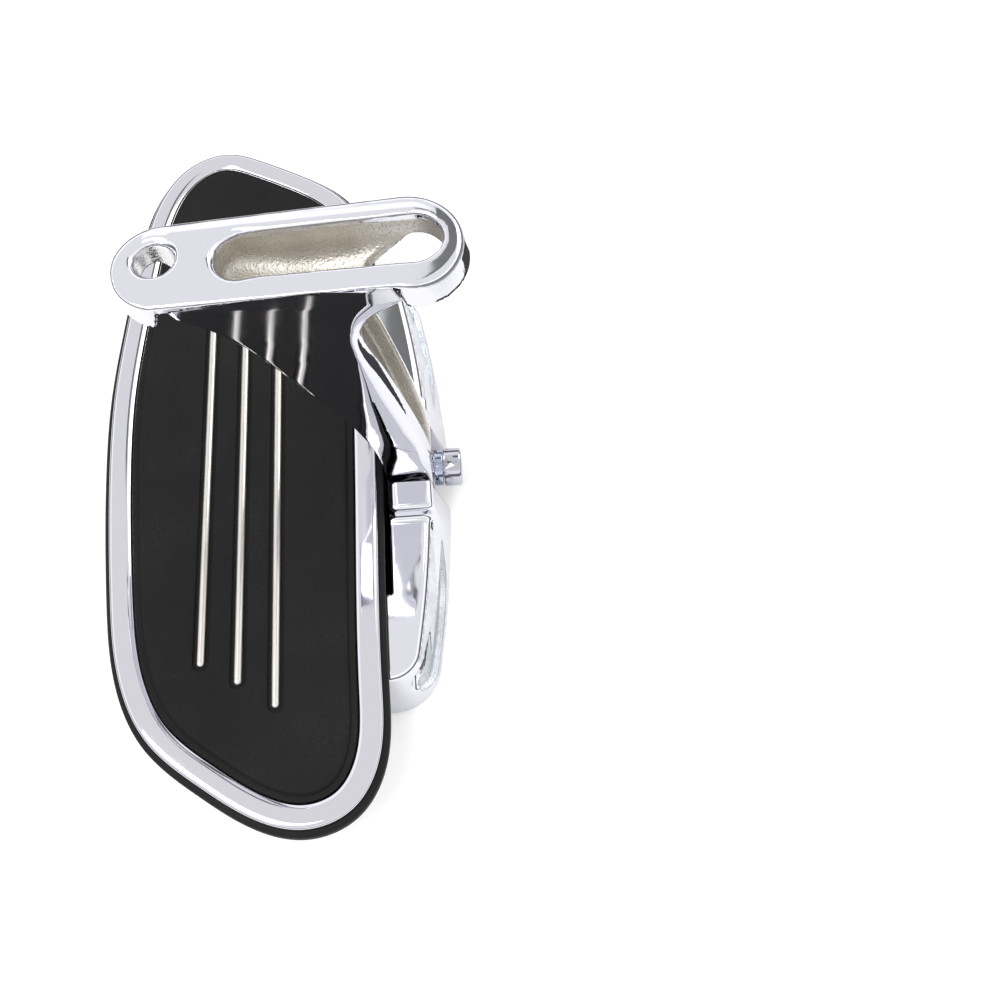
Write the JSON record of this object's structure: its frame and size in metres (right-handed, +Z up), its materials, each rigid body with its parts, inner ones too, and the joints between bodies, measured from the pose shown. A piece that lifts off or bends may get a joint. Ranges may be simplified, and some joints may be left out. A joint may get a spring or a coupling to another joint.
{
  "type": "motorcycle floorboard",
  "caption": "Folding passenger floorboard: long rounded rubber tread with steel strips in a chrome ring, bowed hinge bracket and cast mount arm with a slotted bolting flange.",
  "frame": {"origin": "on the flat underside the board rests on, below the middle of the tread", "axes": "+Z up, out of the tread; +Y along the board's length; +X towards the hinge side"},
  "size_m": [0.1515, 0.3207, 0.161],
  "materials": {
    "cast_chrome": "mirror chrome plate on a polished casting, rough nickel colour in the pockets",
    "ring_chrome": "mirror chrome plate",
    "band_rubber": "smooth black rubber",
    "tread_rubber": "matte moulded rubber",
    "strip_steel": "brushed along its length",
    "zinc_steel": "zinc plated",
    "pin_steel": "ground steel"
  },
  "bodies": {
    "board": {"base_pan": "cast_chrome", "rubber_base": "band_rubber", "trim_ring": "ring_chrome", "tread_pad": "tread_rubber", "backing_plate": "zinc_steel", "tread_strip_1": "strip_steel", "tread_strip_2": "strip_steel", "tread_strip_3": "strip_steel", "pad_washer_1": "zinc_steel", "pad_washer_2": "zinc_steel", "pad_washer_3": "zinc_steel", "pad_washer_4": "zinc_steel", "pad_nut_1": "zinc_steel", "pad_nut_2": "zinc_steel", "pad_nut_3": "zinc_steel", "pad_nut_4": "zinc_steel", "pivot_bracket": "cast_chrome", "bracket_screw_1": "zinc_steel", "bracket_screw_2": "zinc_steel", "bracket_screw_3": "zinc_steel", "bracket_screw_4": "zinc_steel", "hinge_pin": "pin_steel", "pin_clip_1": "pin_steel", "pin_clip_2": "pin_steel", "thrust_washer_1": "pin_steel", "thrust_washer_2": "pin_steel"},
    "arm": {"mount_arm": "cast_chrome", "drag_plug": "ring_chrome", "lock_collar": "ring_chrome", "drag_spring": "pin_steel", "drag_ball": "pin_steel"}
  },
  "joints": [
    {"name": "fold_hinge", "type": "hinge", "parent": "board", "child": "arm", "pos_m": [0.0673, -0.0075, 0.012], "axis": [0, 1, 0], "range_deg": [0, 90]}
  ]
}
